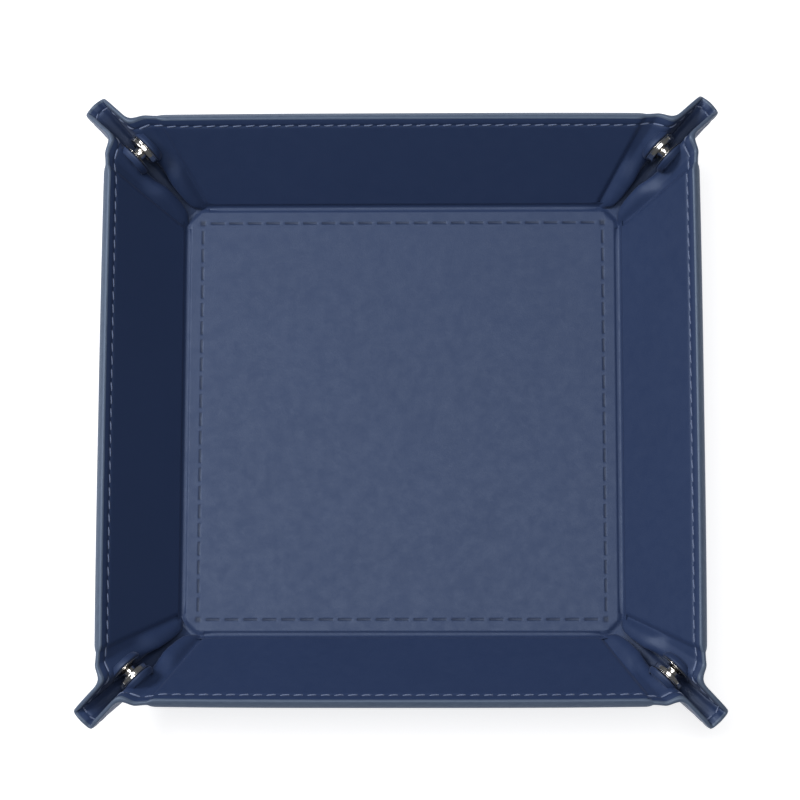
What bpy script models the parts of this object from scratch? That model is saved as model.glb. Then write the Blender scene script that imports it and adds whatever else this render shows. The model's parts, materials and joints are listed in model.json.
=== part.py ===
# Folding dice tray: two leather blanks sewn back to back over a floor board and four wall
# boards, pulled up into a square tray by one snap fastener per corner.
# Built in metres, +Z up, base on Z = 0, centre of the floor on the Z axis, -Y is the front.
import math

import bmesh
import bpy
from mathutils import Matrix, Vector

# ---------------------------------------------------------------- driving dimensions (mm)
FLOOR_HALF = 67.0        # crease to centre
WALL_SLANT = 33.0        # crease to rim, along the wall
WALL_ELEVATION = 46.5    # degrees above the table when the tray is up
BLANK_RADIUS = 9.0       # rounded corner of the leather blank
SKIN = 0.7               # one leather sheet
BOARD = 1.5              # stiffener
PLY_GAP = 0.1            # glue line
CREASE_SETBACK = 1.0     # panels stop this far from a crease axis
EAR_OFFSET = 3.0         # mid surface of an ear to the corner's mirror plane
EAR_SETBACK = 1.1        # ear and spine panels stop this far from the spine crease
EAR_START = 5.0          # ear panels start this far from the corner's apex
SPINE_START = 1.3
SPINE_MID_GAP = 0.15
EAR_NEAR_ANGLE = 21.0    # near edge of an ear, degrees from the wall's outward direction
BOARD_END_IN = -8.0      # end of a wall board at the crease, past the floor corner
BOARD_END_OUT = 6.5      # end of a wall board at the rim, past the floor corner
SKIN_END_EXTRA = 1.0
BOARD_RIM = 0.4          # board stops short of the rim
FLOOR_BOARD_INSET = 0.9
DASH_LINE = 61.5         # dashed square pressed in the floor leather
DASH_PITCH = 5.7
DASH_LENGTH = 4.15
DASH_WIDTH = 0.9
DASH_DEPTH = 0.25
DASHES_PER_SIDE = 21
STITCH_INSET = 3.0       # seam to rim
THREAD = 0.45
THREAD_HOLE = 0.75
THREAD_POSTS = 5
SNAP_R = 26.5            # snap centre along the spine crease, from the apex
SNAP_T = 6.5             # snap centre away from the spine crease
RIVET_HOLE = 1.7
LATHE_STEPS = 20

MM = 0.001
MID = SKIN + PLY_GAP + BOARD / 2.0      # mid plane above the outer face
WALL_HALF = MID                         # half of the walled sandwich
EAR_HALF = (2.0 * SKIN + PLY_GAP) / 2.0
APEX = EAR_OFFSET * math.sqrt(2.0)      # apex to floor corner along the crease
ELEV = math.radians(WALL_ELEVATION)
T_TURN = math.atan(math.cos(ELEV))                     # ear crease from the wall's outward direction
T_ELEV = math.atan(math.tan(ELEV) / math.sqrt(2.0))    # the same crease above the table
S_ELEV = T_ELEV - (math.radians(45.0) - T_TURN)        # spine crease above the table

WALLS = (("front", (0.0, -1.0)), ("right", (1.0, 0.0)), ("back", (0.0, 1.0)), ("left", (-1.0, 0.0)))
UP = Vector((0.0, 0.0, 1.0))


# ---------------------------------------------------------------- scene helpers
def clear_scene():
    for obj in list(bpy.data.objects):
        bpy.data.objects.remove(obj, do_unlink=True)


def collection(name):
    made = bpy.data.collections.new(name)
    bpy.context.scene.collection.children.link(made)
    return made


def material(name, colour, roughness, metallic=0.0):
    made = bpy.data.materials.new(name)
    made.use_nodes = True
    shader = made.node_tree.nodes["Principled BSDF"]
    shader.inputs["Base Color"].default_value = (colour[0], colour[1], colour[2], 1.0)
    shader.inputs["Roughness"].default_value = roughness
    shader.inputs["Metallic"].default_value = metallic
    made.diffuse_color = (colour[0], colour[1], colour[2], 1.0)
    return made


def finish(bm, name, frame, mat, where):
    bmesh.ops.recalc_face_normals(bm, faces=bm.faces)
    mesh = bpy.data.meshes.new(name)
    bm.to_mesh(mesh)
    bm.free()
    obj = bpy.data.objects.new(name, mesh)
    where.objects.link(obj)
    obj.matrix_world = frame
    if mat is not None:
        mesh.materials.append(mat)
    return obj


def slab(name, outline, low, high, frame, mat, where, bevel=0.0):
    """A flat outline (mm, in the frame's XY) extruded from low to high."""
    bm = bmesh.new()
    verts = [bm.verts.new((x * MM, y * MM, low * MM)) for x, y in outline]
    face = bm.faces.new(verts)
    grown = bmesh.ops.extrude_face_region(bm, geom=[face])
    top = [g for g in grown["geom"] if isinstance(g, bmesh.types.BMVert)]
    bmesh.ops.translate(bm, verts=top, vec=(0.0, 0.0, (high - low) * MM))
    obj = finish(bm, name, frame, mat, where)
    if bevel > 0.0:
        mod = obj.modifiers.new("edge", "BEVEL")
        mod.width = bevel * MM
        mod.segments = 1
        mod.limit_method = "ANGLE"
        mod.angle_limit = math.radians(50.0)
    return obj


def boxes(name, blocks, frame, mat, where):
    """Separate boxes (centre, size in mm) in one object."""
    bm = bmesh.new()
    for centre, size in blocks:
        scale = Matrix.Diagonal((size[0] * MM, size[1] * MM, size[2] * MM, 1.0))
        shift = Matrix.Translation((centre[0] * MM, centre[1] * MM, centre[2] * MM))
        bmesh.ops.create_cube(bm, size=1.0, matrix=shift @ scale)
    return finish(bm, name, frame, mat, where)


def lathe(name, profile, frame, mat, where, ring=False):
    """A profile (radius, height in mm) turned round the frame's Z axis."""
    bm = bmesh.new()
    verts = [bm.verts.new((r * MM, 0.0, z * MM)) for r, z in profile]
    edges = [bm.edges.new((verts[i], verts[i + 1])) for i in range(len(verts) - 1)]
    if ring:
        edges.append(bm.edges.new((verts[-1], verts[0])))
    bmesh.ops.spin(bm, geom=verts + edges, cent=(0, 0, 0), axis=(0, 0, 1), dvec=(0, 0, 0),
                   angle=2.0 * math.pi, steps=LATHE_STEPS, use_duplicate=False)
    bmesh.ops.remove_doubles(bm, verts=bm.verts, dist=1e-7)
    return finish(bm, name, frame, mat, where)


def cut(obj, cutter, label):
    mod = obj.modifiers.new(label, "BOOLEAN")
    mod.operation = "DIFFERENCE"
    mod.solver = "EXACT"
    mod.object = cutter


def axes(origin, x, y, z):
    """Frame with the given unit axes and an origin in mm."""
    m = Matrix.Identity(4)
    for row in range(3):
        m[row][0], m[row][1], m[row][2] = x[row], y[row], z[row]
        m[row][3] = origin[row] * MM
    return m


# ---------------------------------------------------------------- frames
def wall_frame(out):
    """X outward along the slant, Y along the crease, Z towards the inside of the tray."""
    d = Vector((out[0], out[1], 0.0))
    u = UP.cross(d)
    p = d * math.cos(ELEV) + UP * math.sin(ELEV)
    n = p.cross(u)
    return axes(d * FLOOR_HALF + UP * MID, p, u, n)


def apex_point(out, side):
    d = Vector((out[0], out[1], 0.0))
    u = UP.cross(d)
    return d * FLOOR_HALF + u * (side * (FLOOR_HALF - APEX)) + UP * MID


def ear_frame(out, side):
    """X along the spine crease, Z towards the corner's mirror plane, origin on the apex."""
    d = Vector((out[0], out[1], 0.0))
    q = UP.cross(d) * side
    h = (d + q).normalized()
    m = (q - d).normalized()
    s = h * math.cos(S_ELEV) + UP * math.sin(S_ELEV)
    return axes(apex_point(out, side), s, m.cross(s), m)


def spine_frame(out, side):
    """X along the spine crease, Z towards the inside of the pinched corner."""
    d = Vector((out[0], out[1], 0.0))
    q = UP.cross(d) * side
    h = (d + q).normalized()
    s = h * math.cos(S_ELEV) + UP * math.sin(S_ELEV)
    t = UP * math.cos(S_ELEV) - h * math.sin(S_ELEV)
    return axes(apex_point(out, side), s, t.cross(s), t)


# ---------------------------------------------------------------- outlines
def corner_cut_square(half, cut_sum):
    """Square whose corners are cut where x + y reaches cut_sum."""
    c = cut_sum - half
    return [(half, -c), (half, c), (c, half), (-c, half),
            (-half, c), (-half, -c), (-c, -half), (c, -half)]


def wall_outline(start, rim, extra):
    """Trapezoid: short side on the crease, long side on the rim."""
    slope = (BOARD_END_OUT - BOARD_END_IN) / WALL_SLANT
    grow = extra / math.cos(math.atan(slope))
    near = FLOOR_HALF + BOARD_END_IN + slope * start + grow
    far = FLOOR_HALF + BOARD_END_IN + slope * rim + grow
    return [(start, -near), (rim, -far), (rim, far), (start, near)]


def to_ear(p, q):
    """Flat blank position (p out of the crease, q past the floor corner) to the ear frame."""
    q = q + APEX
    return (p + q) / math.sqrt(2.0), (p - q) / math.sqrt(2.0)


def blank_edge(setback):
    """Where a line parallel to the spine crease, set back from it, meets the rounded corner."""
    centre = WALL_SLANT - BLANK_RADIUS
    r0, t0 = to_ear(centre, centre)
    return r0 + math.sqrt(BLANK_RADIUS ** 2 - (setback - t0) ** 2)


def ear_outline(side):
    """Ear panel between its near edge and the spine crease, in the ear frame."""
    centre = WALL_SLANT - BLANK_RADIUS
    r0, t0 = to_ear(centre, centre)
    points = [(EAR_START, EAR_SETBACK), (blank_edge(EAR_SETBACK), EAR_SETBACK)]
    first = math.asin((EAR_SETBACK - t0) / BLANK_RADIUS)
    last = math.radians(45.0)
    steps = 5
    for i in range(1, steps + 1):
        a = first + (last - first) * i / steps
        points.append((r0 + BLANK_RADIUS * math.cos(a), t0 + BLANK_RADIUS * math.sin(a)))
    near = math.radians(EAR_NEAR_ANGLE)
    points.append(to_ear(WALL_SLANT, WALL_SLANT * math.tan(near) - APEX))
    points.append((EAR_START, EAR_START * math.tan(math.radians(45.0) - near)))
    return [(r, -side * t) for r, t in points]


def spine_outline(side):
    """Half of the strip that closes the bottom of a pinched corner."""
    inner, outer = EAR_SETBACK, EAR_OFFSET - SPINE_MID_GAP
    points = [(SPINE_START, inner), (blank_edge(-inner), inner)]
    mid = (inner + outer) / 2.0
    points += [(blank_edge(-mid), mid), (blank_edge(-outer), outer), (SPINE_START, outer)]
    return [(r, side * t) for r, t in points]


# ---------------------------------------------------------------- build
clear_scene()
TRAY = collection("folding_dice_tray")
CUTTERS = collection("folding_dice_tray_cutters")

leather_out = material("leather_outer_navy", (0.030, 0.045, 0.105), 0.50)
leather_in = material("leather_inner_navy", (0.034, 0.052, 0.120), 0.46)
greyboard = material("greyboard", (0.33, 0.31, 0.28), 0.90)
thread_mat = material("thread_blue", (0.18, 0.24, 0.40), 0.70)
nickel = material("nickel_plate", (0.74, 0.72, 0.70), 0.16, 1.0)
spring_mat = material("spring_steel", (0.45, 0.44, 0.43), 0.30, 1.0)

GROUND = Matrix.Identity(4)

# floor: leather, board, leather
cut_sum = 2.0 * FLOOR_HALF - APEX - SPINE_START * math.sqrt(2.0)
floor_half = FLOOR_HALF - CREASE_SETBACK
slab("outer_skin_floor", corner_cut_square(floor_half, cut_sum), 0.0, SKIN,
     GROUND, leather_out, TRAY, 0.15)
slab("floor_board", corner_cut_square(floor_half - FLOOR_BOARD_INSET, cut_sum - 3.0),
     SKIN + PLY_GAP, SKIN + PLY_GAP + BOARD, GROUND, greyboard, TRAY)
top = 2.0 * MID
inner_floor = slab("inner_skin_floor", corner_cut_square(floor_half, cut_sum), top - SKIN, top,
                   GROUND, leather_in, TRAY)

dashes = []
for turn in range(4):
    for i in range(DASHES_PER_SIDE):
        along = (i - (DASHES_PER_SIDE - 1) / 2.0) * DASH_PITCH
        if turn < 2:
            side = DASH_LINE if turn == 0 else -DASH_LINE
            dashes.append(((along, side, top), (DASH_LENGTH, DASH_WIDTH, 2.0 * DASH_DEPTH)))
        else:
            side = DASH_LINE if turn == 2 else -DASH_LINE
            dashes.append(((side, along, top), (DASH_WIDTH, DASH_LENGTH, 2.0 * DASH_DEPTH)))
for sx in (-1.0, 1.0):
    for sy in (-1.0, 1.0):
        dashes.append(((sx * DASH_LINE, sy * DASH_LINE, top), (1.3, 1.3, 2.0 * DASH_DEPTH)))
cut(inner_floor, boxes("cutter_dashes", dashes, GROUND, None, CUTTERS), "dashed_square")

# walls: leather, board, leather and the seam along the rim
for wall, out in WALLS:
    frame = wall_frame(out)
    skin_line = wall_outline(CREASE_SETBACK, WALL_SLANT, SKIN_END_EXTRA)
    outer = slab("outer_skin_" + wall, skin_line, -WALL_HALF, SKIN - WALL_HALF, frame,
                 leather_out, TRAY)
    board = slab("wall_board_" + wall,
                 wall_outline(CREASE_SETBACK + 0.4, WALL_SLANT - BOARD_RIM, 0.0),
                 -BOARD / 2.0, BOARD / 2.0, frame, greyboard, TRAY)
    inner = slab("inner_skin_" + wall, skin_line, WALL_HALF - SKIN, WALL_HALF, frame,
                 leather_in, TRAY)

    seam = WALL_SLANT - STITCH_INSET
    reach = FLOOR_HALF + BOARD_END_OUT - 2.5
    post_at = [reach * (2.0 * i / (THREAD_POSTS - 1) - 1.0) for i in range(THREAD_POSTS)]
    post_at = [y * (1.0 - THREAD / 2.0 / reach) for y in post_at]
    clear = WALL_HALF + PLY_GAP
    thread = boxes("rim_thread_" + wall,
                   [((seam, 0.0, 0.0), (THREAD, 2.0 * reach, 2.0 * (clear + THREAD)))],
                   frame, thread_mat, TRAY)
    windows = []
    for a, b in zip(post_at[:-1], post_at[1:]):
        windows.append(((seam, (a + b) / 2.0, 0.0), (2.0 * THREAD, b - a - THREAD, 2.0 * clear)))
    cut(thread, boxes("cutter_thread_" + wall, windows, frame, None, CUTTERS), "between_posts")
    holes = boxes("cutter_holes_" + wall,
                  [((seam, y, 0.0), (THREAD_HOLE, THREAD_HOLE, 3.0 * WALL_HALF)) for y in post_at],
                  frame, None, CUTTERS)
    for part in (outer, board, inner):
        cut(part, holes, "needle_holes")

# corners: two ears and two spine halves each, one snap fastener each
for index, (wall, out) in enumerate(WALLS):
    for side in (1.0, -1.0):
        other = WALLS[(index + int(side)) % 4][0]
        ends = (wall, other) if wall in ("front", "back") else (other, wall)
        tag = ends[0] + "_" + ends[1] + "_of_" + wall
        frame = ear_frame(out, side)
        ear = slab("ear_" + tag, ear_outline(side), -EAR_HALF, EAR_HALF, frame,
                   leather_out, TRAY)
        slab("spine_" + tag, spine_outline(side), -EAR_HALF, EAR_HALF,
             spine_frame(out, side), leather_out, TRAY)

        snap = frame @ Matrix.Translation((SNAP_R * MM, -side * SNAP_T * MM, 0.0))
        hole = lathe("cutter_rivet_" + tag, [(0.0, -2.0), (RIVET_HOLE, -2.0),
                                             (RIVET_HOLE, 2.0), (0.0, 2.0)],
                     snap, None, CUTTERS)
        cut(ear, hole, "rivet_hole")

        corner = ends[0] + "_" + ends[1]
        face = EAR_HALF + PLY_GAP
        if wall in ("front", "back"):
            lathe("snap_cap_" + corner,
                  [(0.0, -1.55), (2.8, -1.50), (4.0, -1.30), (4.4, -1.05), (4.4, -face),
                   (1.4, -face), (1.4, face + 0.45), (2.2, face + 0.45), (2.2, face + 0.70),
                   (0.0, face + 0.70)],
                  snap, nickel, TRAY)
            lathe("snap_socket_" + corner,
                  [(1.6, face), (5.3, face), (5.3, face + 0.30), (4.8, face + 0.40), (4.8, 2.55),
                   (4.5, 2.80), (2.95, 2.80), (2.95, 2.50), (3.80, 2.50), (3.80, 1.75),
                   (2.95, 1.75), (2.95, face + 0.35), (1.6, face + 0.35)],
                  snap, nickel, TRAY, ring=True)
            turn = [math.pi * 2.0 * k / 8 for k in range(8)]
            lathe("snap_spring_" + corner,
                  [(3.37 + 0.27 * math.cos(a), 2.125 + 0.27 * math.sin(a)) for a in turn],
                  snap, spring_mat, TRAY, ring=True)
        else:
            lathe("snap_eyelet_" + corner,
                  [(0.0, -1.50), (2.6, -1.45), (3.8, -1.25), (4.1, -1.05), (4.1, -face),
                   (1.3, -face), (1.3, 1.90), (0.0, 1.90)],
                  snap, nickel, TRAY)
            lathe("snap_stud_" + corner,
                  [(0.0, 3.30), (1.3, 3.30), (1.6, 3.00), (1.6, face), (4.9, face),
                   (4.9, face + 0.30), (2.7, face + 0.45), (2.0, 1.75), (2.0, 3.10),
                   (2.25, 3.40), (2.25, 3.80), (1.8, 4.20), (0.0, 4.20)],
                  snap, nickel, TRAY)

for obj in CUTTERS.objects:
    obj.hide_render = True
    obj.display_type = "WIRE"
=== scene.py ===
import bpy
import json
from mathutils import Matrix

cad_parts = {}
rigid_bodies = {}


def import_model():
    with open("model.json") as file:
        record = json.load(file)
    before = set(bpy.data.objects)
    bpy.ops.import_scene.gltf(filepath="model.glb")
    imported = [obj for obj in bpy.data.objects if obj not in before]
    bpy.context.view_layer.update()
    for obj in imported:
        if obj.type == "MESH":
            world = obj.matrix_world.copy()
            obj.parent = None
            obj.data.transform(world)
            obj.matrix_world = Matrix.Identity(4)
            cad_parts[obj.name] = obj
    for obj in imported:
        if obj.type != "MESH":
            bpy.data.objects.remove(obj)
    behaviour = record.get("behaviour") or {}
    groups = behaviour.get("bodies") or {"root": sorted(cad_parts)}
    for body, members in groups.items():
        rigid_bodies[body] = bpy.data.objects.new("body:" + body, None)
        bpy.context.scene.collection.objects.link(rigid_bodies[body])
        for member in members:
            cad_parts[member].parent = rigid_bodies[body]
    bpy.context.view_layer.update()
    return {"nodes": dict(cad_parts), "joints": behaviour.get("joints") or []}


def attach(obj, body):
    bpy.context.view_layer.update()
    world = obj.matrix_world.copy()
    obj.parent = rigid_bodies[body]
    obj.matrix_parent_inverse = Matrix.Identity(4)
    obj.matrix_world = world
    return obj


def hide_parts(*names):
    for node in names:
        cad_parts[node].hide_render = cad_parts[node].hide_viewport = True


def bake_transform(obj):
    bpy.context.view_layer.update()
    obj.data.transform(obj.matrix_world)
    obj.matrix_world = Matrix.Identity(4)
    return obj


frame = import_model()

# Folding dice tray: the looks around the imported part. All soft pieces are laid out in the flat
# blank (mm), then brought to rest by undoing the bend that the fold gives them.
import json
import math

import bpy
import numpy as np
from mathutils import Matrix, Vector

# ------------------------------------------------------------------ dimensions (mm)
A = 67.0            # crease to centre
WS = 33.0           # wall slant
HALF = A + WS       # half of the blank
RB = 9.0            # blank corner radius
MID = 1.55          # mid surface of the floor above the table
H_BOARD = 1.55      # half thickness where there is board
H_SOFT = 0.76       # half thickness where there is only leather
EAR_OFF = 3.0
APEX = EAR_OFF * math.sqrt(2.0)
ELEV = math.radians([j for j in frame["joints"] if j["name"] == "wall_front_fold"][0]["range_deg"][1])
T_TURN = math.atan(math.cos(ELEV))
S_ELEV = math.atan(math.tan(ELEV) / math.sqrt(2.0)) - (math.radians(45.0) - T_TURN)
CREASE = 2.3        # half width of a bending strip
E0, ES = -7.3, 14.5 / 33.0          # wall board end + 0.6: q = E0 + ES p
T_ZONE = 7.2        # width of the wall to ear bend at the rim
T_SLOPE = math.radians(28.0)        # the bend starts on a line from the board end at the crease
T_NEAR = 4.2        # the same bend at the apex
S_ZONE = 2.3        # half width of the ear to spine bend
S_BEND = 1.54       # the same for the mid surface alone
SEAM = 3.0
EDGE = 0.8
SNAP_R, SNAP_T = 26.5, 6.5
UP = np.array([0.0, 0.0, 1.0])
WALLS = [("front", (0, -1)), ("right", (1, 0)), ("back", (0, 1)), ("left", (-1, 0))]
WDIR = {w: np.array([d[0], d[1], 0.0]) for w, d in WALLS}


def smooth(x):
    x = np.clip(x, 0.0, 1.0)
    return x * x * (3.0 - 2.0 * x)


def corner_tag(index, side):
    w = WALLS[index][0]
    o = WALLS[(index + side) % 4][0]
    ends = (w, o) if w in ("front", "back") else (o, w)
    return ends[0] + "_" + ends[1]


# ------------------------------------------------------------------ bodies in the flat pose
def turn(axis, pos, deg):
    m = Matrix.Translation(Vector(pos)) @ Matrix.Rotation(math.radians(deg), 4, Vector(axis)) @ Matrix.Translation(-Vector(pos))
    return np.array(m, float)


FLAT = {"floor": np.eye(4)}
todo = list(frame["joints"])
while todo:
    for j in list(todo):
        if j["parent"] in FLAT:
            FLAT[j["child"]] = FLAT[j["parent"]] @ turn(j["axis"], j["pos_m"], j["range_deg"][1])
            todo.remove(j)


def unbend(flat_mm, a, b, w):
    """Rest position (m) of points given in the flat pose (mm), bent between bodies a and b."""
    ma, mb = FLAT[a], FLAT[b]
    v = flat_mm * 0.001
    ia = np.linalg.inv(ma)
    v = v @ ia[:3, :3].T + ia[:3, 3]
    rel = ia @ mb
    r, t = rel[:3, :3], rel[:3, 3]
    ang = math.acos(max(-1.0, min(1.0, (np.trace(r) - 1) / 2)))
    if ang < 1e-7:
        return v
    n = np.array([r[2, 1] - r[1, 2], r[0, 2] - r[2, 0], r[1, 0] - r[0, 1]])
    n = n / np.linalg.norm(n)
    along = (t @ n) * n
    pivot = np.linalg.lstsq(np.eye(3) - r, t - along, rcond=None)[0]
    p = v - pivot
    c, s = np.cos(-w * ang)[:, None], np.sin(-w * ang)[:, None]
    return pivot + p * c + np.cross(n, p) * s + n * (p @ n)[:, None] * (1 - c)


def rigid(flat_mm, body):
    m = np.linalg.inv(FLAT[body])
    v = flat_mm * 0.001
    return v @ m[:3, :3].T + m[:3, 3]


# ------------------------------------------------------------------ zones
class Corner:
    """One half of a corner: the ear that belongs to a wall, at one of its two ends."""

    def __init__(self, index, side):
        self.wall = WALLS[index][0]
        self.d = WDIR[self.wall]
        self.q = np.cross(UP, self.d) * side
        self.side = side
        self.tag = corner_tag(index, side) + "_of_" + self.wall
        self.ear, self.spine, self.body = "ear_" + self.tag, "spine_" + self.tag, "wall_" + self.wall
        p = self.d * math.cos(ELEV) + UP * math.sin(ELEV)
        n = -self.d * math.sin(ELEV) + UP * math.cos(ELEV)
        self.p, self.n = p, n
        base = self.d * A + self.q * A + UP * MID
        dw = -math.sin(T_SLOPE) * p + math.cos(T_SLOPE) * self.q
        s0 = base + p * 15.0 + self.q * (E0 + 0.3 + math.tan(T_SLOPE) * 15.0)
        self.t_start, self.t_end = s0 * 0.001, (s0 + dw * T_ZONE) * 0.001
        h = (self.d + self.q) / math.sqrt(2.0)
        m = (self.q - self.d) / math.sqrt(2.0)
        self.m = m
        self.s = h * math.cos(S_ELEV) + UP * math.sin(S_ELEV)
        self.t = UP * math.cos(S_ELEV) - h * math.sin(S_ELEV)
        self.apex = base - self.q * APEX
        v = self.apex + self.s * 20.0
        self.s_start, self.s_end = (v + self.t * S_BEND) * 0.001, (v + m * S_BEND) * 0.001

    def flat(self, p, q, z):
        """Flat pose position (mm) from blank coordinates."""
        return (np.outer(A + p, self.d) + np.outer(A + q, self.q) + np.outer(MID + z, UP))

    def t_weight(self, f):
        lo, hi = np.zeros(len(f)), np.ones(len(f))
        d = self.t_end - self.t_start
        p = f[:, :2] @ self.d[:2] - A
        q = f[:, :2] @ self.q[:2] - A + APEX
        along = p * math.cos(T_TURN) + q * math.sin(T_TURN)
        d_d = (d @ d) * (T_NEAR + (T_ZONE - T_NEAR) * smooth(along / 20.0)) / T_ZONE
        for _ in range(26):
            w = (lo + hi) / 2
            v = unbend(f, self.body, self.ear, w)
            g = smooth(((v - self.t_start) @ d) / d_d)
            up = g > w
            lo = np.where(up, w, lo)
            hi = np.where(up, hi, w)
        return (lo + hi) / 2

    def s_width(self, r):
        return np.minimum(S_ZONE, 0.17 * np.maximum(r, 0.0) + 0.06)

    def rt(self, p, q):
        qq = q + APEX
        return (p + qq) / math.sqrt(2.0), (p - qq) / math.sqrt(2.0)

    def s_weight(self, f):
        """Weight of the spine for flat pose points. The bend narrows to the apex."""
        r, _ = self.rt(f[:, :2] @ self.d[:2] - A, f[:, :2] @ self.q[:2] - A)
        k = np.maximum(self.s_width(r) / S_ZONE, 0.02)
        g = f.copy()
        g[:, 2] = MID + (g[:, 2] - MID) * k
        mid, d = (self.s_start + self.s_end) / 2, self.s_end - self.s_start
        lo, hi = np.zeros(len(f)), np.ones(len(f))
        for _ in range(26):
            w = (lo + hi) / 2
            v = unbend(g, self.ear, self.spine, w)
            up = smooth(0.5 + ((v - mid) @ d) / (k * (d @ d))) > w
            lo = np.where(up, w, lo)
            hi = np.where(up, hi, w)
        return (lo + hi) / 2


def arc_outline(n, q_from, r_t_limit):
    """Points on the rim from (WS, q_from) round the corner to where t falls to the limit."""
    c = WS - RB
    pts = [(WS, q) for q in spread(q_from, c, 1.2)]
    for a in np.linspace(0, math.pi / 2, 400)[1:]:
        p, q = c + RB * math.cos(a), c + RB * math.sin(a)
        if (p - q - APEX) / math.sqrt(2) < r_t_limit:
            break
        pts.append((p, q))
    pts = np.array(pts)
    seg = np.r_[0, np.cumsum(np.hypot(*np.diff(pts, axis=0).T))]
    at = np.linspace(0, seg[-1], n)
    return np.stack([np.interp(at, seg, pts[:, 0]), np.interp(at, seg, pts[:, 1])], 1)


def spread(lo, hi, step):
    n = max(2, int(math.ceil((hi - lo) / step)) + 1)
    return np.linspace(lo, hi, n)


CORNERS = [Corner(i, s) for i in range(4) for s in (1, -1)]
BY_KEY = {(c.wall, c.side): c for c in CORNERS}


def crease_weight(p):
    return smooth((p + CREASE) / (2 * CREASE))


def locate(x, y):
    """Wall and side, p and q of a blank point outside the floor."""
    ax, ay = abs(x), abs(y)
    if ax >= ay:
        w = "right" if x > 0 else "left"
        other = y
    else:
        w = "back" if y > 0 else "front"
        other = x
    d = WDIR[w]
    u = np.cross(UP, d)
    side = 1 if (u[0] * x + u[1] * y) >= 0 else -1
    return w, side, max(ax, ay) - A, min(ax, ay) - A


# ------------------------------------------------------------------ surface heights
def edge_dist(x, y):
    """Distance in from the outline of the blank."""
    ax, ay = np.abs(x) - (HALF - RB), np.abs(y) - (HALF - RB)
    out = np.hypot(np.maximum(ax, 0), np.maximum(ay, 0)) + np.minimum(np.maximum(ax, ay), 0) - RB
    return -out


def half_thickness(x, y):
    ax, ay = np.abs(x), np.abs(y)
    big, small = np.maximum(ax, ay), np.minimum(ax, ay)
    p, q = big - A, small - A
    floor = smooth((-p - 0.35) / 1.7) * smooth((-(p + q + APEX) - 1.2) / 2.2)
    end = E0 - 0.6 + ES * np.maximum(p, 0.0)
    wall = smooth((p - 0.35) / 1.7) * smooth((end - q + 1.1) / 1.9)
    fold = 0.82 * np.exp(-(p / 2.6) ** 4) * smooth((end - q + 1.5) / 2.5)
    return H_SOFT + (H_BOARD - H_SOFT) * np.maximum(np.maximum(floor, wall), fold)


DASH_LINE, DASH_PITCH, DASH_LEN, DASH_W, DASH_DEEP = 61.5, 5.7, 4.15, 0.72, 0.14
PINCH = 1.75
FLARE = 0.30


def dash_mask(x, y):
    ax, ay = np.abs(x), np.abs(y)
    big, small_signed = np.maximum(ax, ay), np.where(ax >= ay, y, x)
    across = 1 - smooth((np.abs(big - DASH_LINE) - DASH_W / 2 + 0.12) / 0.24)
    k = np.clip(np.round(small_signed / DASH_PITCH), -10, 10)
    along = np.abs(small_signed - k * DASH_PITCH)
    dash = across * (1 - smooth((along - DASH_LEN / 2 + 0.12) / 0.24))
    corner = (1 - smooth((np.abs(ax - DASH_LINE) - 0.62) / 0.24)) * (1 - smooth((np.abs(ay - DASH_LINE) - 0.62) / 0.24))
    return np.maximum(dash, corner)


def lift(x, y):
    """Memory of the raised shape: the mid surface stands off the flat plane towards the inside."""
    ax, ay = np.abs(x), np.abs(y)
    big, small = np.maximum(ax, ay), np.minimum(ax, ay)
    p, q = big - A, small - A
    up = np.clip(p / WS, 0, 1.1)
    curl = 0.45 * up ** 1.5 * np.clip(small / (A + 7.0), 0, 1) ** 3
    end = E0 + ES * np.maximum(p, 0.0)
    fade = 1 - smooth((q - end) / 6.0)
    # the two sides of a corner close up towards the floor corner
    across, along = (p - q) / math.sqrt(2.0), (p + q) / math.sqrt(2.0) + EAR_OFF
    beyond = smooth((q - end + 0.3) / 3.0)
    edge = np.minimum(S_ZONE, 0.17 * np.maximum(along, 0.0) + 0.06) + EAR_OFF
    pinch = PINCH * smooth((along + 2.6) / 4.6) * (1 - smooth((along - 12.0) / 8.0)) * smooth((across - edge) / 1.9)
    # and the lips open out again at the rim
    flare = FLARE * smooth((8.5 - edge_dist(x, y)) / 8.0) * smooth((across - 0.5) / 3.0) * smooth((q - end - 2.0) / 8.0)
    return curl * fade + (pinch - flare) * beyond


def fold_shade(x, y):
    """How deep in a corner's fold a point lies, 0 to 1. It weights the shade painted into the fold's colour."""
    ax, ay = np.abs(x), np.abs(y)
    big, small = np.maximum(ax, ay), np.minimum(ax, ay)
    p, q = big - A, small - A
    across, along = (p - q) / math.sqrt(2.0), (p + q) / math.sqrt(2.0) + EAR_OFF
    return 0.7 * (1 - smooth((across - 2.4) / 2.6)) * smooth((along - 1.0) / 4.0) * (1 - smooth((along - 37.0) / 7.0))


def height(x, y, inner):
    h = half_thickness(x, y)
    d = edge_dist(x, y)
    seam = 0.20 * np.exp(-((d - SEAM) / 0.42) ** 2)
    h = h - seam
    # the edge is pressed a little thinner than the field
    h = h - 0.10 * (1 - smooth((d - 0.6) / 1.2))
    z = h if inner else -h
    if inner:
        z = z - DASH_DEEP * dash_mask(x, y)
    return z + lift(x, y)


# ------------------------------------------------------------------ mesh helpers
def new_mesh(name, verts_m, faces, mat, flat_xy=None, smooth_shade=True):
    mesh = bpy.data.meshes.new(name)
    mesh.from_pydata([tuple(v) for v in verts_m], [], faces)
    mesh.materials.append(mat)
    mesh.polygons.foreach_set("use_smooth", [smooth_shade] * len(mesh.polygons))
    if flat_xy is not None:
        at = mesh.attributes.new("blank", "FLOAT_VECTOR", "POINT")
        at.data.foreach_set("vector", np.asarray(flat_xy, np.float32).ravel())
    mesh.update()
    obj = bpy.data.objects.new(name, mesh)
    bpy.context.scene.collection.objects.link(obj)
    return obj


def add_mask(obj, name, values):
    at = obj.data.attributes.new(name, "FLOAT", "POINT")
    at.data.foreach_set("value", np.asarray(values, np.float32))


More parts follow.
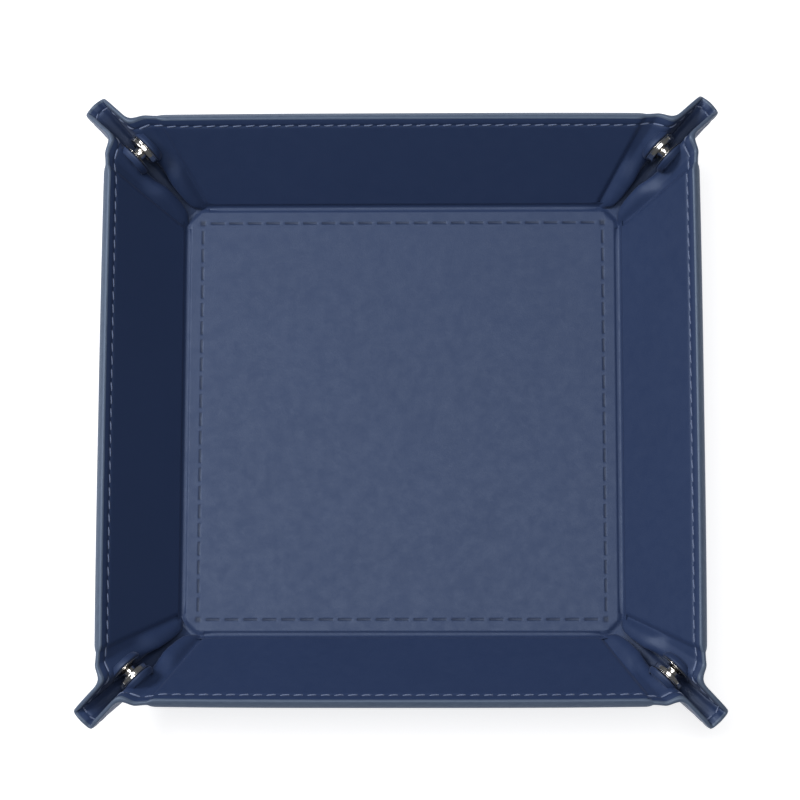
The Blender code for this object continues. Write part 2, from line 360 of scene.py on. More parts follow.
def grid_faces(nu, nv, off=0, flip=False):
    f = []
    for i in range(nu - 1):
        for j in range(nv - 1):
            a, b, c, d = off + i * nv + j, off + (i + 1) * nv + j, off + (i + 1) * nv + j + 1, off + i * nv + j + 1
            f.append((a, d, c, b) if flip else (a, b, c, d))
    return f


def merge_lines(*groups):
    v = np.unique(np.round(np.concatenate(groups), 5))
    keep = [v[0]]
    for x in v[1:]:
        if x - keep[-1] > 0.04:
            keep.append(x)
    keep[-1] = v[-1]
    return np.array(keep)


# distances in from the outline where a sheet has its rows
RIM_ROWS = np.array([EDGE, 1.1, 1.6, 2.1, 2.45, 2.7, 2.85, 3.0, 3.15, 3.3, 3.55, 3.9, 4.6, 5.6])


# ------------------------------------------------------------------ materials
def nodes_of(mat):
    mat.use_nodes = True
    nt = mat.node_tree
    nt.nodes.clear()
    out = nt.nodes.new("ShaderNodeOutputMaterial")
    sh = nt.nodes.new("ShaderNodeBsdfPrincipled")
    nt.links.new(sh.outputs["BSDF"], out.inputs["Surface"])
    return nt, sh


def leather(name, base, rough, grain=1.0, edge=False, coords="blank"):
    mat = bpy.data.materials.new(name)
    nt, sh = nodes_of(mat)
    N, L = nt.nodes.new, nt.links.new
    at = N("ShaderNodeAttribute"); at.attribute_name = coords
    vec = at.outputs["Vector"]
    big = N("ShaderNodeTexNoise"); big.inputs["Scale"].default_value = 0.03; big.inputs["Detail"].default_value = 5
    mid = N("ShaderNodeTexNoise"); mid.inputs["Scale"].default_value = 0.35; mid.inputs["Detail"].default_value = 6
    cells = N("ShaderNodeTexVoronoi"); cells.inputs["Scale"].default_value = 2.1; cells.feature = "DISTANCE_TO_EDGE"
    warp = N("ShaderNodeTexNoise"); warp.inputs["Scale"].default_value = 1.3; warp.inputs["Detail"].default_value = 3
    pores = N("ShaderNodeTexNoise"); pores.inputs["Scale"].default_value = 5.5; pores.inputs["Detail"].default_value = 3
    for n in (big, mid, warp, pores):
        L(vec, n.inputs["Vector"])
    addw = N("ShaderNodeVectorMath"); addw.operation = "MULTIPLY_ADD"
    L(warp.outputs["Color"], addw.inputs[0]); addw.inputs[1].default_value = (0.5, 0.5, 0.5); L(vec, addw.inputs[2])
    L(addw.outputs[0], cells.inputs["Vector"])
    # colour
    ramp = N("ShaderNodeMix"); ramp.data_type = "RGBA"
    dark = tuple(c * 0.92 for c in base); light = tuple(min(1, c * 1.08) for c in base)
    ramp.inputs["A"].default_value = (*dark, 1); ramp.inputs["B"].default_value = (*light, 1)
    mixf = N("ShaderNodeMath"); mixf.operation = "MULTIPLY_ADD"
    L(big.outputs["Fac"], mixf.inputs[0]); mixf.inputs[1].default_value = 0.7
    m2 = N("ShaderNodeMath"); m2.operation = "MULTIPLY"; L(mid.outputs["Fac"], m2.inputs[0]); m2.inputs[1].default_value = 0.3
    L(m2.outputs[0], mixf.inputs[2]); L(mixf.outputs[0], ramp.inputs["Factor"])
    colour = ramp.outputs["Result"]
    # pressed lines read darker; the same mask also carries the painted shade of the corners' folds, down to about half
    # the base colour
    mask = N("ShaderNodeAttribute"); mask.attribute_name = "pressed_lines_and_painted_shade"
    dk = N("ShaderNodeMix"); dk.data_type = "RGBA"; L(mask.outputs["Fac"], dk.inputs["Factor"])
    L(colour, dk.inputs["A"]); dk.inputs["B"].default_value = (base[0] * 0.50, base[1] * 0.46, base[2] * 0.46, 1)
    # wear on the ridges
    worn = N("ShaderNodeAttribute"); worn.attribute_name = "worn"
    wn = N("ShaderNodeMath"); wn.operation = "MULTIPLY"; L(worn.outputs["Fac"], wn.inputs[0]); L(mid.outputs["Fac"], wn.inputs[1])
    lt = N("ShaderNodeMix"); lt.data_type = "RGBA"; L(wn.outputs[0], lt.inputs["Factor"])
    L(dk.outputs["Result"], lt.inputs["A"]); lt.inputs["B"].default_value = (base[0] * 2.3, base[1] * 2.2, base[2] * 1.7, 1)
    L(lt.outputs["Result"], sh.inputs["Base Color"])
    # roughness
    rr = N("ShaderNodeMapRange"); L(mid.outputs["Fac"], rr.inputs["Value"])
    rr.inputs["From Min"].default_value = 0.3; rr.inputs["From Max"].default_value = 0.7
    rr.inputs["To Min"].default_value = rough - 0.05; rr.inputs["To Max"].default_value = rough + 0.07
    L(rr.outputs["Result"], sh.inputs["Roughness"])
    # grain
    cr = N("ShaderNodeMapRange"); L(cells.outputs["Distance"], cr.inputs["Value"])
    cr.inputs["From Min"].default_value = 0.0; cr.inputs["From Max"].default_value = 0.16
    b1 = N("ShaderNodeBump"); b1.inputs["Strength"].default_value = 0.22 * grain; b1.inputs["Distance"].default_value = 0.00006
    L(cr.outputs["Result"], b1.inputs["Height"])
    b2 = N("ShaderNodeBump"); b2.inputs["Strength"].default_value = 0.35 * grain; b2.inputs["Distance"].default_value = 0.00005
    L(pores.outputs["Fac"], b2.inputs["Height"]); L(b1.outputs["Normal"], b2.inputs["Normal"])
    b3 = N("ShaderNodeBump"); b3.inputs["Strength"].default_value = 0.14; b3.inputs["Distance"].default_value = 0.0005
    L(big.outputs["Fac"], b3.inputs["Height"]); L(b2.outputs["Normal"], b3.inputs["Normal"])
    L(b3.outputs["Normal"], sh.inputs["Normal"])
    sh.inputs["Specular IOR Level"].default_value = 0.52
    sh.inputs["Specular Tint"].default_value = (0.66, 0.78, 1.0, 1)
    sh.inputs["Sheen Weight"].default_value = 0.10
    sh.inputs["Sheen Roughness"].default_value = 0.45
    sh.inputs["Sheen Tint"].default_value = (0.6, 0.7, 1.0, 1)
    return mat


def thread_material():
    mat = bpy.data.materials.new("thread_blue_look")
    nt, sh = nodes_of(mat)
    N, L = nt.nodes.new, nt.links.new
    at = N("ShaderNodeAttribute"); at.attribute_name = "strand"
    wave = N("ShaderNodeTexWave"); wave.inputs["Scale"].default_value = 1.0; wave.wave_type = "BANDS"; wave.bands_direction = "DIAGONAL"
    L(at.outputs["Vector"], wave.inputs["Vector"])
    mix = N("ShaderNodeMix"); mix.data_type = "RGBA"; L(wave.outputs["Fac"], mix.inputs["Factor"])
    mix.inputs["A"].default_value = (0.085, 0.12, 0.235, 1); mix.inputs["B"].default_value = (0.19, 0.25, 0.42, 1)
    L(mix.outputs["Result"], sh.inputs["Base Color"])
    b = N("ShaderNodeBump"); b.inputs["Strength"].default_value = 0.6; b.inputs["Distance"].default_value = 0.0001
    L(wave.outputs["Fac"], b.inputs["Height"]); L(b.outputs["Normal"], sh.inputs["Normal"])
    sh.inputs["Roughness"].default_value = 0.55
    sh.inputs["Sheen Weight"].default_value = 0.4
    return mat


def metal(name, colour, rough):
    mat = bpy.data.materials.new(name)
    nt, sh = nodes_of(mat)
    N, L = nt.nodes.new, nt.links.new
    tc = N("ShaderNodeTexCoord")
    no = N("ShaderNodeTexNoise"); no.inputs["Scale"].default_value = 900; no.inputs["Detail"].default_value = 4
    L(tc.outputs["Object"], no.inputs["Vector"])
    rr = N("ShaderNodeMapRange"); L(no.outputs["Fac"], rr.inputs["Value"])
    rr.inputs["To Min"].default_value = rough * 0.6; rr.inputs["To Max"].default_value = rough * 1.6
    L(rr.outputs["Result"], sh.inputs["Roughness"])
    mx = N("ShaderNodeMix"); mx.data_type = "RGBA"; L(no.outputs["Fac"], mx.inputs["Factor"])
    mx.inputs["A"].default_value = (*[c * 0.93 for c in colour], 1); mx.inputs["B"].default_value = (*colour, 1)
    L(mx.outputs["Result"], sh.inputs["Base Color"])
    b = N("ShaderNodeBump"); b.inputs["Strength"].default_value = 0.03; b.inputs["Distance"].default_value = 0.00003
    L(no.outputs["Fac"], b.inputs["Height"]); L(b.outputs["Normal"], sh.inputs["Normal"])
    sh.inputs["Metallic"].default_value = 1.0
    return mat


def board_material():
    mat = bpy.data.materials.new("greyboard_look")
    nt, sh = nodes_of(mat)
    N, L = nt.nodes.new, nt.links.new
    tc = N("ShaderNodeTexCoord")
    no = N("ShaderNodeTexNoise"); no.inputs["Scale"].default_value = 700; no.inputs["Detail"].default_value = 6
    L(tc.outputs["Object"], no.inputs["Vector"])
    mx = N("ShaderNodeMix"); mx.data_type = "RGBA"; L(no.outputs["Fac"], mx.inputs["Factor"])
    mx.inputs["A"].default_value = (0.22, 0.20, 0.18, 1); mx.inputs["B"].default_value = (0.40, 0.38, 0.34, 1)
    L(mx.outputs["Result"], sh.inputs["Base Color"])
    sh.inputs["Roughness"].default_value = 0.9
    return mat


NAVY = (0.020, 0.036, 0.094)
LEATHER_IN = leather("leather_inner_look", NAVY, 0.47)
LEATHER_OUT = leather("leather_outer_look", (0.019, 0.034, 0.088), 0.50, 1.15)
LEATHER_EDGE = leather("leather_edge_look", (0.056, 0.078, 0.132), 0.42, 0.5)
LEATHER_SEAT = leather("leather_seat_look", (0.019, 0.034, 0.088), 0.50, 1.0, coords="seat")
THREAD = thread_material()
NICKEL = metal("nickel_look", (0.80, 0.775, 0.74), 0.13)
SPRING = metal("spring_look", (0.50, 0.49, 0.47), 0.28)
BOARD = board_material()

# ------------------------------------------------------------------ the leather, piece by piece
made = []


def sheet_pair(name, x, y, nu, nv, place, pressed_lines_and_painted_shade=False, worn=None):
    """Inner and outer faces of one panel. x, y are blank coordinates on an nu by nv grid. place(flat) -> rest."""
    out = []
    for inner in (True, False):
        z = height(x, y, inner)
        rest = place(x, y, z)
        # which way the grid winds in the blank
        i = (nu // 2) * nv + nv // 2
        ex = np.array([x[i + nv] - x[i], y[i + nv] - y[i]]) if nu // 2 + 1 < nu else np.array([x[i] - x[i - nv], y[i] - y[i - nv]])
        ey = np.array([x[i + 1] - x[i], y[i + 1] - y[i]]) if nv // 2 + 1 < nv else np.array([x[i] - x[i - 1], y[i] - y[i - 1]])
        ccw = ex[0] * ey[1] - ex[1] * ey[0] > 0
        faces = grid_faces(nu, nv, 0, flip=(ccw != inner))
        xy = np.stack([x, y, z + (0 if inner else 300.0)], 1)
        obj = new_mesh(("inner_" if inner else "outer_") + name, rest, faces, LEATHER_IN if inner else LEATHER_OUT, xy)
        # the inner face's darkening mask: pressed lines on the floor, painted shade in the corners' folds on every
        # other panel
        if inner:
            add_mask(obj, "pressed_lines_and_painted_shade", np.clip(dash_mask(x, y), 0, 1) if pressed_lines_and_painted_shade else fold_shade(x, y))
        else:
            add_mask(obj, "pressed_lines_and_painted_shade", np.zeros(len(x)))
        add_mask(obj, "worn", np.zeros(len(x)) if worn is None else worn)
        out.append(obj)
    return out


def tensor(xs, ys):
    X, Y = np.meshgrid(xs, ys, indexing="ij")
    return X.ravel(), Y.ravel(), len(xs), len(ys)


# floor
dash_edges = []
for k in range(-10, 11):
    c = k * DASH_PITCH
    for s in (-1, 1):
        e = c + s * DASH_LEN / 2
        dash_edges += [e - 0.13, e, e + 0.13]
    dash_edges.append(c)
dash_edges = np.array(dash_edges)
frame_lines = np.array([s * (DASH_LINE + o) for s in (-1, 1) for o in (-1.2, -0.74, -0.5, -0.36, 0, 0.36, 0.5, 0.74, 1.2)])
end_lines = np.array([s * (A - CREASE - o) for s in (-1, 1) for o in (0, 0.0, 0.35, 0.8, 1.4, 2.0)])
gx = merge_lines(dash_edges, frame_lines, end_lines)
X, Y, nu, nv = tensor(gx, gx)
floor_in, floor_out = sheet_pair("leather_floor", X, Y, nu, nv,
                                 lambda x, y, z: rigid(np.stack([x, y, MID + z], 1), "floor"), pressed_lines_and_painted_shade=True)
for o in (floor_in, floor_out):
    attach(o, "floor")
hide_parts("inner_skin_floor")
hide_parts("outer_skin_floor")

RIM_P = WS - RIM_ROWS[::-1]
for index, (wall, _) in enumerate(WALLS):
    cpos, cneg = BY_KEY[(wall, 1)], BY_KEY[(wall, -1)]
    d = WDIR[wall]
    u = np.cross(UP, d)

    def to_blank(p, uu, d=d, u=u):
        return (A + p) * d[0] + uu * u[0], (A + p) * d[1] + uu * u[1]

    # bending strip along the crease
    ps = merge_lines(np.linspace(-CREASE, CREASE, 19))
    ss = np.linspace(-1, 1, 61)
    P, S = np.meshgrid(ps, ss, indexing="ij")
    reach = A + E0 + ES * np.maximum(P, 0)
    x, y = to_blank(P.ravel(), (S * (reach + 1.4)).ravel())
    w = crease_weight(P.ravel())
    pair = sheet_pair("leather_crease_" + wall, x, y, len(ps), len(ss),
                      lambda x, y, z, w=w: unbend(np.stack([x, y, MID + z], 1), "floor", "wall_" + wall, w))
    for o in pair:
        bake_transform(o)

    # wall panel
    ps = merge_lines(np.array([CREASE, 2.6, 3.1, 3.8, 4.8]), spread(4.8, WS - 5.6, 1.4), RIM_P)
    ss = np.concatenate([-np.linspace(1, 0.93, 9)[:-1], np.linspace(-0.93, 0.93, 57), np.linspace(0.93, 1, 9)[1:]])
    P, S = np.meshgrid(ps, ss, indexing="ij")
    reach = A + E0 + ES * P
    x, y = to_blank(P.ravel(), (S * reach).ravel())
    pair = sheet_pair("leather_wall_" + wall, x, y, len(ps), len(ss),
                      lambda x, y, z: rigid(np.stack([x, y, MID + z], 1), "wall_" + wall))
    for o in pair:
        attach(o, "wall_" + wall)
    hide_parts("inner_skin_" + wall)
    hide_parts("outer_skin_" + wall)


def fan(bottom, outline, rows):
    """Straight lines from bottom[k] to outline[k]. The last rows lie at fixed distances in from the rim."""
    n = len(outline)
    P, Q = np.zeros((len(rows) + len(RIM_ROWS), n)), np.zeros((len(rows) + len(RIM_ROWS), n))
    for k in range(n):
        b, o = bottom[k], outline[k]
        ln = np.hypot(*(o - b))
        di = (o - b) / ln
        # find the stations by the true distance to the rim
        ts = np.linspace(0, ln, 700)
        pts = b + np.outer(ts, di)
        dist = edge_dist(A + pts[:, 0], A + pts[:, 1])
        rim = [ts[np.argmin(np.abs(dist - r) + np.where(ts < ln * 0.5, 50, 0))] for r in RIM_ROWS[::-1]]
        st = np.concatenate([np.array(rows) * rim[0], rim])
        # refine the rim stations linearly
        for m_, r_ in enumerate(RIM_ROWS[::-1]):
            i = int(np.argmin(np.abs(ts - rim[m_])))
            i0, i1 = max(0, i - 1), min(len(ts) - 1, i + 1)
            if abs(dist[i1] - dist[i0]) > 1e-9:
                st[len(rows) + m_] = ts[i0] + (r_ - dist[i0]) / (dist[i1] - dist[i0]) * (ts[i1] - ts[i0])
        P[:, k], Q[:, k] = b[0] + st * di[0], b[1] + st * di[1]
    return P, Q


ROWS = np.array([0.0, 0.02, 0.05, 0.09, 0.14, 0.20, 0.26, 0.32, 0.38, 0.44, 0.50, 0.56, 0.62, 0.68, 0.74, 0.80, 0.86, 0.91, 0.96])
EAR_PIECES = {}
for c in CORNERS:
    # wall end, wall to ear bend and the ear itself
    n = 46
    out = arc_outline(n, E0 + ES * WS, S_ZONE)
    fr = np.linspace(0, 1, n)
    b0, b1 = np.array([0.0, E0]), np.array([0.12, -APEX + 0.02])
    bottom = b0 + np.outer(fr, b1 - b0)
    P, Q = fan(bottom, out, ROWS)
    # the last columns follow the edge of the spine's bend, which narrows to the apex
    for i in range(P.shape[0] - 1):
        r, t = c.rt(P[i, -1], Q[i, -1])
        shift = (c.s_width(r) - t) / math.sqrt(2.0)
        P[i] += shift * fr ** 3
        Q[i] -= shift * fr ** 3
    x = (A + P.ravel()) * c.d[0] + (A + Q.ravel()) * c.q[0]
    y = (A + P.ravel()) * c.d[1] + (A + Q.ravel()) * c.q[1]

    def place_t(x, y, z, c=c):
        f = np.stack([x, y, MID + z], 1)
        return unbend(f, c.body, c.ear, c.t_weight(f))
    pair = sheet_pair("leather_ear_" + c.tag, x, y, P.shape[0], n, place_t)
    for o in pair:
        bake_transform(o)
    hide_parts(c.ear)
    # bend at the bottom of the pinched corner, to the mirror plane
    m = 17
    a_mid = WS - RB + RB / math.sqrt(2)
    # straight line on the mirror from the middle of the apex line to the rim
    PP, QQ = np.zeros((P.shape[0], m)), np.zeros((P.shape[0], m))
    # match rows by their distance from the rim
    e0, e1 = np.array([-APEX / 2, -APEX / 2]), np.array([a_mid, a_mid])
    for i in range(P.shape[0]):
        if i < len(ROWS):
            mid_rim = a_mid - RIM_ROWS[-1] / math.sqrt(2)
            g = e0[0] + (mid_rim - e0[0]) * ROWS[i]
        else:
            g = a_mid - RIM_ROWS[::-1][i - len(ROWS)] / math.sqrt(2)
        tt = np.linspace(0, 1, m)
        PP[i] = P[i, -1] + (g - P[i, -1]) * tt
        QQ[i] = Q[i, -1] + (g - Q[i, -1]) * tt
        if i >= len(ROWS):  # keep the rows parallel to the rounded rim
            cx = WS - RB
            rad = RB - RIM_ROWS[::-1][i - len(ROWS)]
            a0 = math.atan2(Q[i, -1] - cx, P[i, -1] - cx)
            aa = np.linspace(a0, math.pi / 4, m)
            PP[i], QQ[i] = cx + rad * np.cos(aa), cx + rad * np.sin(aa)
            PP[i] += (P[i, -1] - PP[i, 0]) * (1 - tt)
            QQ[i] += (Q[i, -1] - QQ[i, 0]) * (1 - tt)
    sx = (A + PP.ravel()) * c.d[0] + (A + QQ.ravel()) * c.q[0]
    sy = (A + PP.ravel()) * c.d[1] + (A + QQ.ravel()) * c.q[1]

    def place_s(x, y, z, c=c):
        f = np.stack([x, y, MID + z], 1)
        return unbend(f, c.ear, c.spine, c.s_weight(f))
    pair_s = sheet_pair("leather_spine_" + c.tag, sx, sy, P.shape[0], m, place_s)
    for o in pair_s:
        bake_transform(o)
    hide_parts(c.spine)
    EAR_PIECES[c.tag] = (pair, pair_s)

# small floor patches between a crease and a corner's apex
for c in CORNERS:
    qs, n2 = np.linspace(0, 1, 7), 5
    P, Q = [], []
    for f in qs:
        for g in np.linspace(0, 1, n2):
            p0, p1 = -CREASE, 0.0
            q_lo = E0
            q_hi = -APEX - (p0 + (p1 - p0) * g)
            P.append(p0 + (p1 - p0) * g)
            Q.append(q_lo + (min(q_hi, -APEX / 2) - q_lo) * f)
    P, Q = np.array(P), np.array(Q)
    x = (A + P) * c.d[0] + (A + Q) * c.q[0]
    y = (A + P) * c.d[1] + (A + Q) * c.q[1]
    for o in sheet_pair("leather_toe_" + c.tag, x, y, 7, n2, lambda x, y, z: rigid(np.stack([x, y, MID + z], 1), "floor")):
        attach(o, "floor")

# ------------------------------------------------------------------ rim edge
ANG = np.linspace(math.pi / 2, -math.pi / 2, 11)


def edge_band(name, pq, c, place, mat=LEATHER_EDGE):
    """Rounded edge along rim points pq (on the outline), in corner coordinates."""
    pq = np.asarray(pq)
    n = len(pq)
    cx = WS - RB
    verts_x, verts_y, verts_z = [], [], []
    for p, q in pq:
        if q > cx:   # on the rounded corner
            di = np.array([p - cx, q - cx]); di = di / np.hypot(*di)
        else:
            di = np.array([1.0, 0.0])
        for a in ANG:
            inset = EDGE * (1 - math.cos(a) ** 0.7)
            pp, qq = p - di[0] * inset, q - di[1] * inset
            X = (A + pp) * c.d[0] + (A + qq) * c.q[0]
            Y = (A + pp) * c.d[1] + (A + qq) * c.q[1]
            ip, iq = p - di[0] * EDGE, q - di[1] * EDGE
            ix = (A + ip) * c.d[0] + (A + iq) * c.q[0]
            iy = (A + ip) * c.d[1] + (A + iq) * c.q[1]
            top = height(np.array([ix]), np.array([iy]), True)[0]
            low = height(np.array([ix]), np.array([iy]), False)[0]
            s = math.copysign(abs(math.sin(a)) ** 0.8, math.sin(a))
            z = (top + low) / 2 + (top - low) / 2 * s
            verts_x.append(X); verts_y.append(Y); verts_z.append(z)
    x, y, z = np.array(verts_x), np.array(verts_y), np.array(verts_z)
    rest = place(x, y, z)
    m = len(ANG)
    ccw = c.side > 0
    faces = grid_faces(n, m, 0, flip=ccw)
    obj = new_mesh(name, rest, faces, mat, np.stack([x, y, z * 3 + 600], 1))
    add_mask(obj, "pressed_lines_and_painted_shade", np.zeros(len(x)))
    add_mask(obj, "worn", 0.5 * np.ones(len(x)))
    return obj


for index, (wall, _) in enumerate(WALLS):
    c = BY_KEY[(wall, 1)]
    reach = E0 + ES * WS
    qs = np.linspace(-2 * A - reach, reach, 141)
    e = edge_band("edge_wall_" + wall, [(WS, q) for q in qs], c,
                  lambda x, y, z: rigid(np.stack([x, y, MID + z], 1), "wall_" + wall))
    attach(e, "wall_" + wall)
for c in CORNERS:
    out = arc_outline(46, E0 + ES * WS, S_ZONE)

    def place_t(x, y, z, c=c):
        f = np.stack([x, y, MID + z], 1)
        return unbend(f, c.body, c.ear, c.t_weight(f))
    e = edge_band("edge_ear_" + c.tag, out, c, place_t)
    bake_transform(e)
    cx = WS - RB
    a0 = math.atan2(out[-1, 1] - cx, out[-1, 0] - cx)
    aa = np.linspace(a0, math.pi / 4, 17)
    pts = np.stack([cx + RB * np.cos(aa), cx + RB * np.sin(aa)], 1)

    def place_s(x, y, z, c=c):
        f = np.stack([x, y, MID + z], 1)
        return unbend(f, c.ear, c.spine, c.s_weight(f))
    e = edge_band("edge_spine_" + c.tag, pts, c, place_s)
    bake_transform(e)

# ------------------------------------------------------------------ the seam
half_seam = HALF - SEAM
rs = RB - SEAM
straight = 2 * (half_seam - rs)
perim = 4 * straight + 2 * math.pi * rs
COUNT = 192
PITCH = perim / COUNT


def seam_point(s):
    """Point and direction on the seam line, s from the middle of the front wall's seam."""
    s = (s + straight / 2) % perim
    side = straight + math.pi / 2 * rs
    k = int(s // side)
    r = s - k * side
    if r <= straight:
        x, y, dx, dy = -straight / 2 + r, -half_seam, 1.0, 0.0
    else:
        a = (r - straight) / rs
        x, y = straight / 2 + rs * math.sin(a), -half_seam + rs * (1 - math.cos(a))
        dx, dy = math.cos(a), math.sin(a)
    for _ in range(k):
        x, y, dx, dy = -y, x, -dy, dx
    return np.array([x, y]), np.array([dx, dy])


def stitch(centre, direction, inner, length=2.9, rad=0.22):
    """One stitch as blank points: x, y, z relative to the mid surface, and a strand coordinate."""
    nrm = np.array([-direction[1], direction[0]])
    slant = math.radians(7.0) * (1 if inner else -1)
    di = direction * math.cos(slant) + nrm * math.sin(slant)
    no = np.array([-di[1], di[0]])
    xs, ys, zs, st = [], [], [], []
    stations = [(-1.0, 0.0), (-0.94, 0.55), (-0.8, 0.86), (-0.45, 1.0), (0.0, 1.03), (0.45, 1.0), (0.8, 0.86), (0.94, 0.55), (1.0, 0.0)]
    for f, k in stations:
        c = centre + di * (f * length / 2)
        dip = 0.26 * abs(f) ** 3.0
        base = height(np.array([c[0]]), np.array([c[1]]), inner)[0]
        sign = 1 if inner else -1
        for j in range(8):
            a = 2 * math.pi * j / 8
            pt = c + no * (rad * k * math.cos(a))
            xs.append(pt[0]); ys.append(pt[1])
            zs.append(base + sign * (0.14 - dip) + rad * 0.8 * k * math.sin(a))
            st.append((f * length * 1.6, a * 0.55, 0.0))
    faces = grid_faces(len(stations), 8)
    for i in range(len(stations) - 1):
        faces.append((i * 8 + 7, (i + 1) * 8 + 7, (i + 1) * 8, i * 8))
    return xs, ys, zs, st, faces


groups = {}
for i in range(COUNT):
    pt, di = seam_point((i + 0.5) * PITCH)
    w, side, p, q = locate(pt[0], pt[1])
    c = BY_KEY[(w, side)]
    r, t = c.rt(p, q)
    if q <= E0 + ES * p:
        key = ("wall", w, 1)
    elif t >= c.s_width(r):
        key = ("ear", w, side)
    else:
        key = ("spine", w, side)
    for inner in (True, False):
        xs, ys, zs, st, faces = stitch(pt, di, inner)
        g = groups.setdefault(key, [[], [], [], [], []])
        off = len(g[0])
        g[0] += xs; g[1] += ys; g[2] += zs; g[3] += st
        g[4] += [tuple(v + off for v in f) for f in faces]
for key, g in groups.items():
    kind, w, side = key
    c = BY_KEY[(w, side)]
    x, y, z = np.array(g[0]), np.array(g[1]), np.array(g[2])
    f = np.stack([x, y, MID + z], 1)
    if kind == "wall":
        rest = rigid(f, "wall_" + w)
        name = "seam_wall_" + w
    elif kind == "ear":
        rest = unbend(f, c.body, c.ear, c.t_weight(f))
        name = "seam_ear_" + c.tag
    else:
        rest = unbend(f, c.ear, c.spine, c.s_weight(f))
        name = "seam_spine_" + c.tag
    obj = new_mesh(name, rest, g[4], THREAD)
    at = obj.data.attributes.new("strand", "FLOAT_VECTOR", "POINT")
    at.data.foreach_set("vector", np.asarray(g[3], np.float32).ravel())
    if kind == "wall":
        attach(obj, "wall_" + w)
        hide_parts("rim_thread_" + w)
    elif kind == "ear":
        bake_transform(obj)
    else:
        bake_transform(obj)


# ------------------------------------------------------------------ snap fasteners
def lathe(name, profile, frame_m, mat, ring, steps=80):
    prof = np.array(profile, float)
    m = len(prof)
    verts, faces = [], []
    for i in range(steps):
        a = 2 * math.pi * i / steps
        for r, z in prof:
            verts.append((r * math.cos(a), r * math.sin(a), z))
    for i in range(steps):
        i2 = (i + 1) % steps
        for j in range(m if ring else m - 1):
            j2 = (j + 1) % m
            faces.append((i * m + j, i2 * m + j, i2 * m + j2, i * m + j2))
    v = np.array(verts) * 0.001
    v = v @ frame_m[:3, :3].T + frame_m[:3, 3]
    obj = new_mesh(name, v, faces, mat)
    at = obj.data.attributes.new("seat", "FLOAT_VECTOR", "POINT")
    at.data.foreach_set("vector", (v * 1000.0).astype(np.float32).ravel())
    import bmesh
    bm = bmesh.new(); bm.from_mesh(obj.data)
    bmesh.ops.remove_doubles(bm, verts=bm.verts, dist=2e-6)
    bmesh.ops.recalc_face_normals(bm, faces=bm.faces)
    bm.to_mesh(obj.data); bm.free()
    for poly in obj.data.polygons:
        poly.use_smooth = True
    obj.data.set_sharp_from_angle(angle=math.radians(42))
    return obj


def rounded(points, r=0.12, closed=False, seg=3):
    """Profile with its corners rounded."""
    pts = [np.array(p, float) for p in points]
    n = len(pts)
    out = []
    for i, p in enumerate(pts):
        if not closed and i in (0, n - 1):
            out.append(p); continue
        a, b = pts[(i - 1) % n], pts[(i + 1) % n]
        la, lb = np.hypot(*(a - p)), np.hypot(*(b - p))
        k = min(r, la * 0.4, lb * 0.4)
        p0, p1 = p + (a - p) / la * k, p + (b - p) / lb * k
        for s in np.linspace(0, 1, seg + 1):
            out.append((1 - s) ** 2 * p0 + 2 * s * (1 - s) * p + s ** 2 * p1)
    return [tuple(p) for p in out]


FACE = H_SOFT + 0.07
for c in CORNERS:
    x, z = c.s, c.m
    y = np.cross(z, x)
    o = (c.apex + c.s * SNAP_R + c.t * SNAP_T) * 0.001
    fm = np.eye(4)
    fm[:3, 0], fm[:3, 1], fm[:3, 2], fm[:3, 3] = x, y, z, o
    corner = c.tag.split("_of_")[0]
    if c.wall in ("front", "back"):
        parts = {
            "snap_cap_": (rounded([(0, -1.55), (1.6, -1.53), (2.8, -1.46), (3.7, -1.30), (4.25, -1.08), (4.4, -0.95), (4.25, -FACE),
                                   (1.4, -FACE), (1.4, 1.28), (2.2, 1.30), (2.2, 1.5), (1.2, 1.52), (0.9, 1.2), (0, 1.2)], 0.1), False, NICKEL),
            "snap_socket_": (rounded([(1.6, FACE), (5.25, FACE), (5.5, 0.98), (5.42, 1.18), (5.16, 1.28), (5.1, 1.45), (5.1, 2.3), (4.95, 2.62),
                                      (4.5, 2.82), (3.6, 2.84), (3.1, 2.78), (2.95, 2.6), (2.95, 2.5), (3.8, 2.5), (3.8, 1.75), (2.95, 1.75),
                                      (2.95, 1.2), (1.6, 1.2)], 0.09, True), True, NICKEL),
            "snap_spring_": ([(3.37 + 0.27 * math.cos(a), 2.125 + 0.27 * math.sin(a)) for a in np.linspace(0, 2 * math.pi, 13)[:-1]], True, SPRING),
        }
    else:
        parts = {
            "snap_eyelet_": (rounded([(0, -1.1), (1.3, -1.12), (1.7, -1.42), (2.6, -1.5), (3.7, -1.34), (4.1, -1.05), (3.95, -FACE),
                                      (1.3, -FACE), (1.3, 1.85), (0.9, 1.9), (0, 1.9)], 0.12), False, NICKEL),
            "snap_stud_": (rounded([(0, 3.3), (1.3, 3.3), (1.6, 3.0), (1.6, FACE), (5.1, FACE), (5.35, 0.98), (5.25, 1.16), (4.6, 1.24), (2.9, 1.3),
                                    (2.25, 1.55), (2.0, 1.85), (2.0, 3.1), (2.25, 3.4), (2.28, 3.75), (2.0, 4.05), (1.5, 4.2), (0, 4.25)], 0.12), False, NICKEL),
        }
    # the ear's own leather held flat between the two halves of a fastener part
    seat = rounded([(1.4, 0.66), (5.3, 0.66), (5.62, 0.40), (5.55, -0.10), (4.95, -1.22), (4.65, -1.38), (4.45, -1.15), (4.45, -0.68), (1.4, -0.68)], 0.22, True)
    ob = lathe("snap_seat_" + c.tag, seat, fm, LEATHER_SEAT, True)
    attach(ob, c.ear)
    for stem, (prof, ring, mat) in parts.items():
        ob = lathe("look_" + stem + corner, prof, fm, mat, ring)
        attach(ob, c.ear)
        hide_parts(stem + corner)

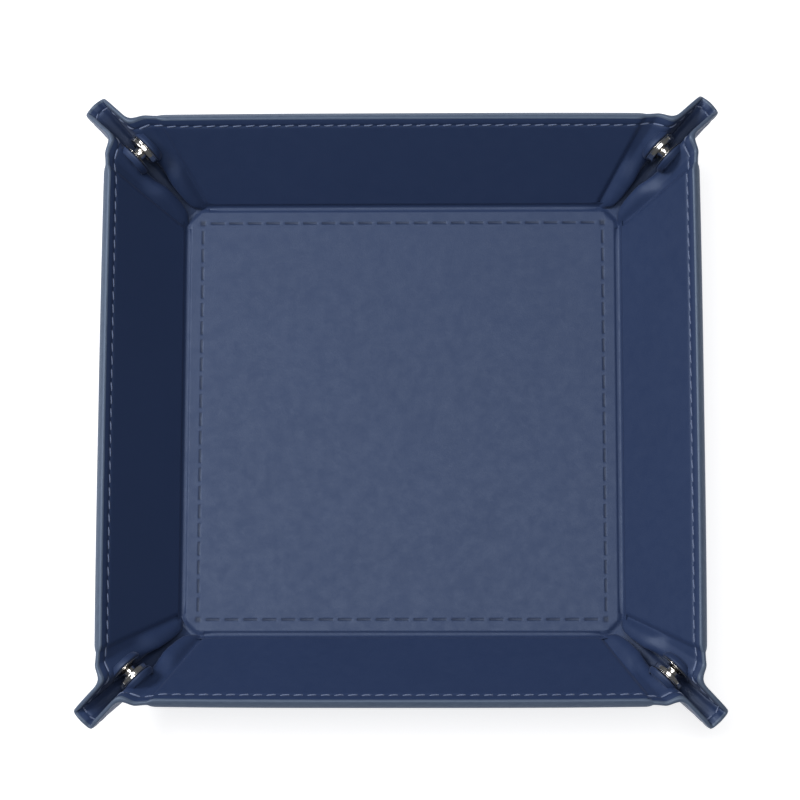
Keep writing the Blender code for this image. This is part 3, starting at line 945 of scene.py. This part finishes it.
# boards stay the CAD's own, inside the leather
for name, ob in frame["nodes"].items():
    if "board" in name:
        ob.data.materials.clear()
        ob.data.materials.append(BOARD)

# ------------------------------------------------------------------ stage
def plane(name, size, z, mat):
    s = size
    ob = new_mesh(name, [(-s, -s, z), (s, -s, z), (s, s, z), (-s, s, z)], [(0, 1, 2, 3)], mat, smooth_shade=False)
    return ob


white = bpy.data.materials.new("paper_white")
nt, sh = nodes_of(white)
sh.inputs["Base Color"].default_value = (0.52, 0.52, 0.53, 1)
sh.inputs["Roughness"].default_value = 0.9
sh.inputs["Emission Color"].default_value = (1, 1, 1, 1)
sh.inputs["Emission Strength"].default_value = 0.76
floor = plane("stage_floor", 6.0, -0.0002, white)

world = bpy.data.worlds.new("studio")
bpy.context.scene.world = world
world.use_nodes = True
bg = world.node_tree.nodes["Background"]
bg.inputs["Color"].default_value = (0.93, 0.96, 1.0, 1)
bg.inputs["Strength"].default_value = 0.10


def area(name, loc, target, size, power, colour=(1, 1, 1)):
    li = bpy.data.lights.new(name, "AREA")
    li.shape = "RECTANGLE"
    li.size, li.size_y = size
    li.energy = power
    li.color = colour
    ob = bpy.data.objects.new(name, li)
    bpy.context.scene.collection.objects.link(ob)
    ob.location = loc
    di = Vector(target) - Vector(loc)
    ob.rotation_mode = "QUATERNION"
    ob.rotation_quaternion = di.to_track_quat("-Z", "Y")
    return ob


area("key_left_back", (-0.80, 0.36, 1.00), (0, 0, 0), (0.50, 0.50), 11.5)
area("top_soft", (0.0, 0.0, 1.35), (0, 0, 0), (0.8, 0.8), 9.0)

cam = bpy.data.cameras.new("camera")
cam.sensor_width = 36.0
cam.lens = 150.4
cam.clip_start, cam.clip_end = 0.05, 20.0
co = bpy.data.objects.new("camera", cam)
bpy.context.scene.collection.objects.link(co)
co.location = (0.0212, -0.1916, 1.003)
co.rotation_mode = "XYZ"
co.rotation_euler = (math.radians(11.17), math.radians(1.23), math.radians(0.12))
bpy.context.scene.camera = co
bpy.context.scene.view_settings.view_transform = "Standard"

bpy.context.view_layer.update()
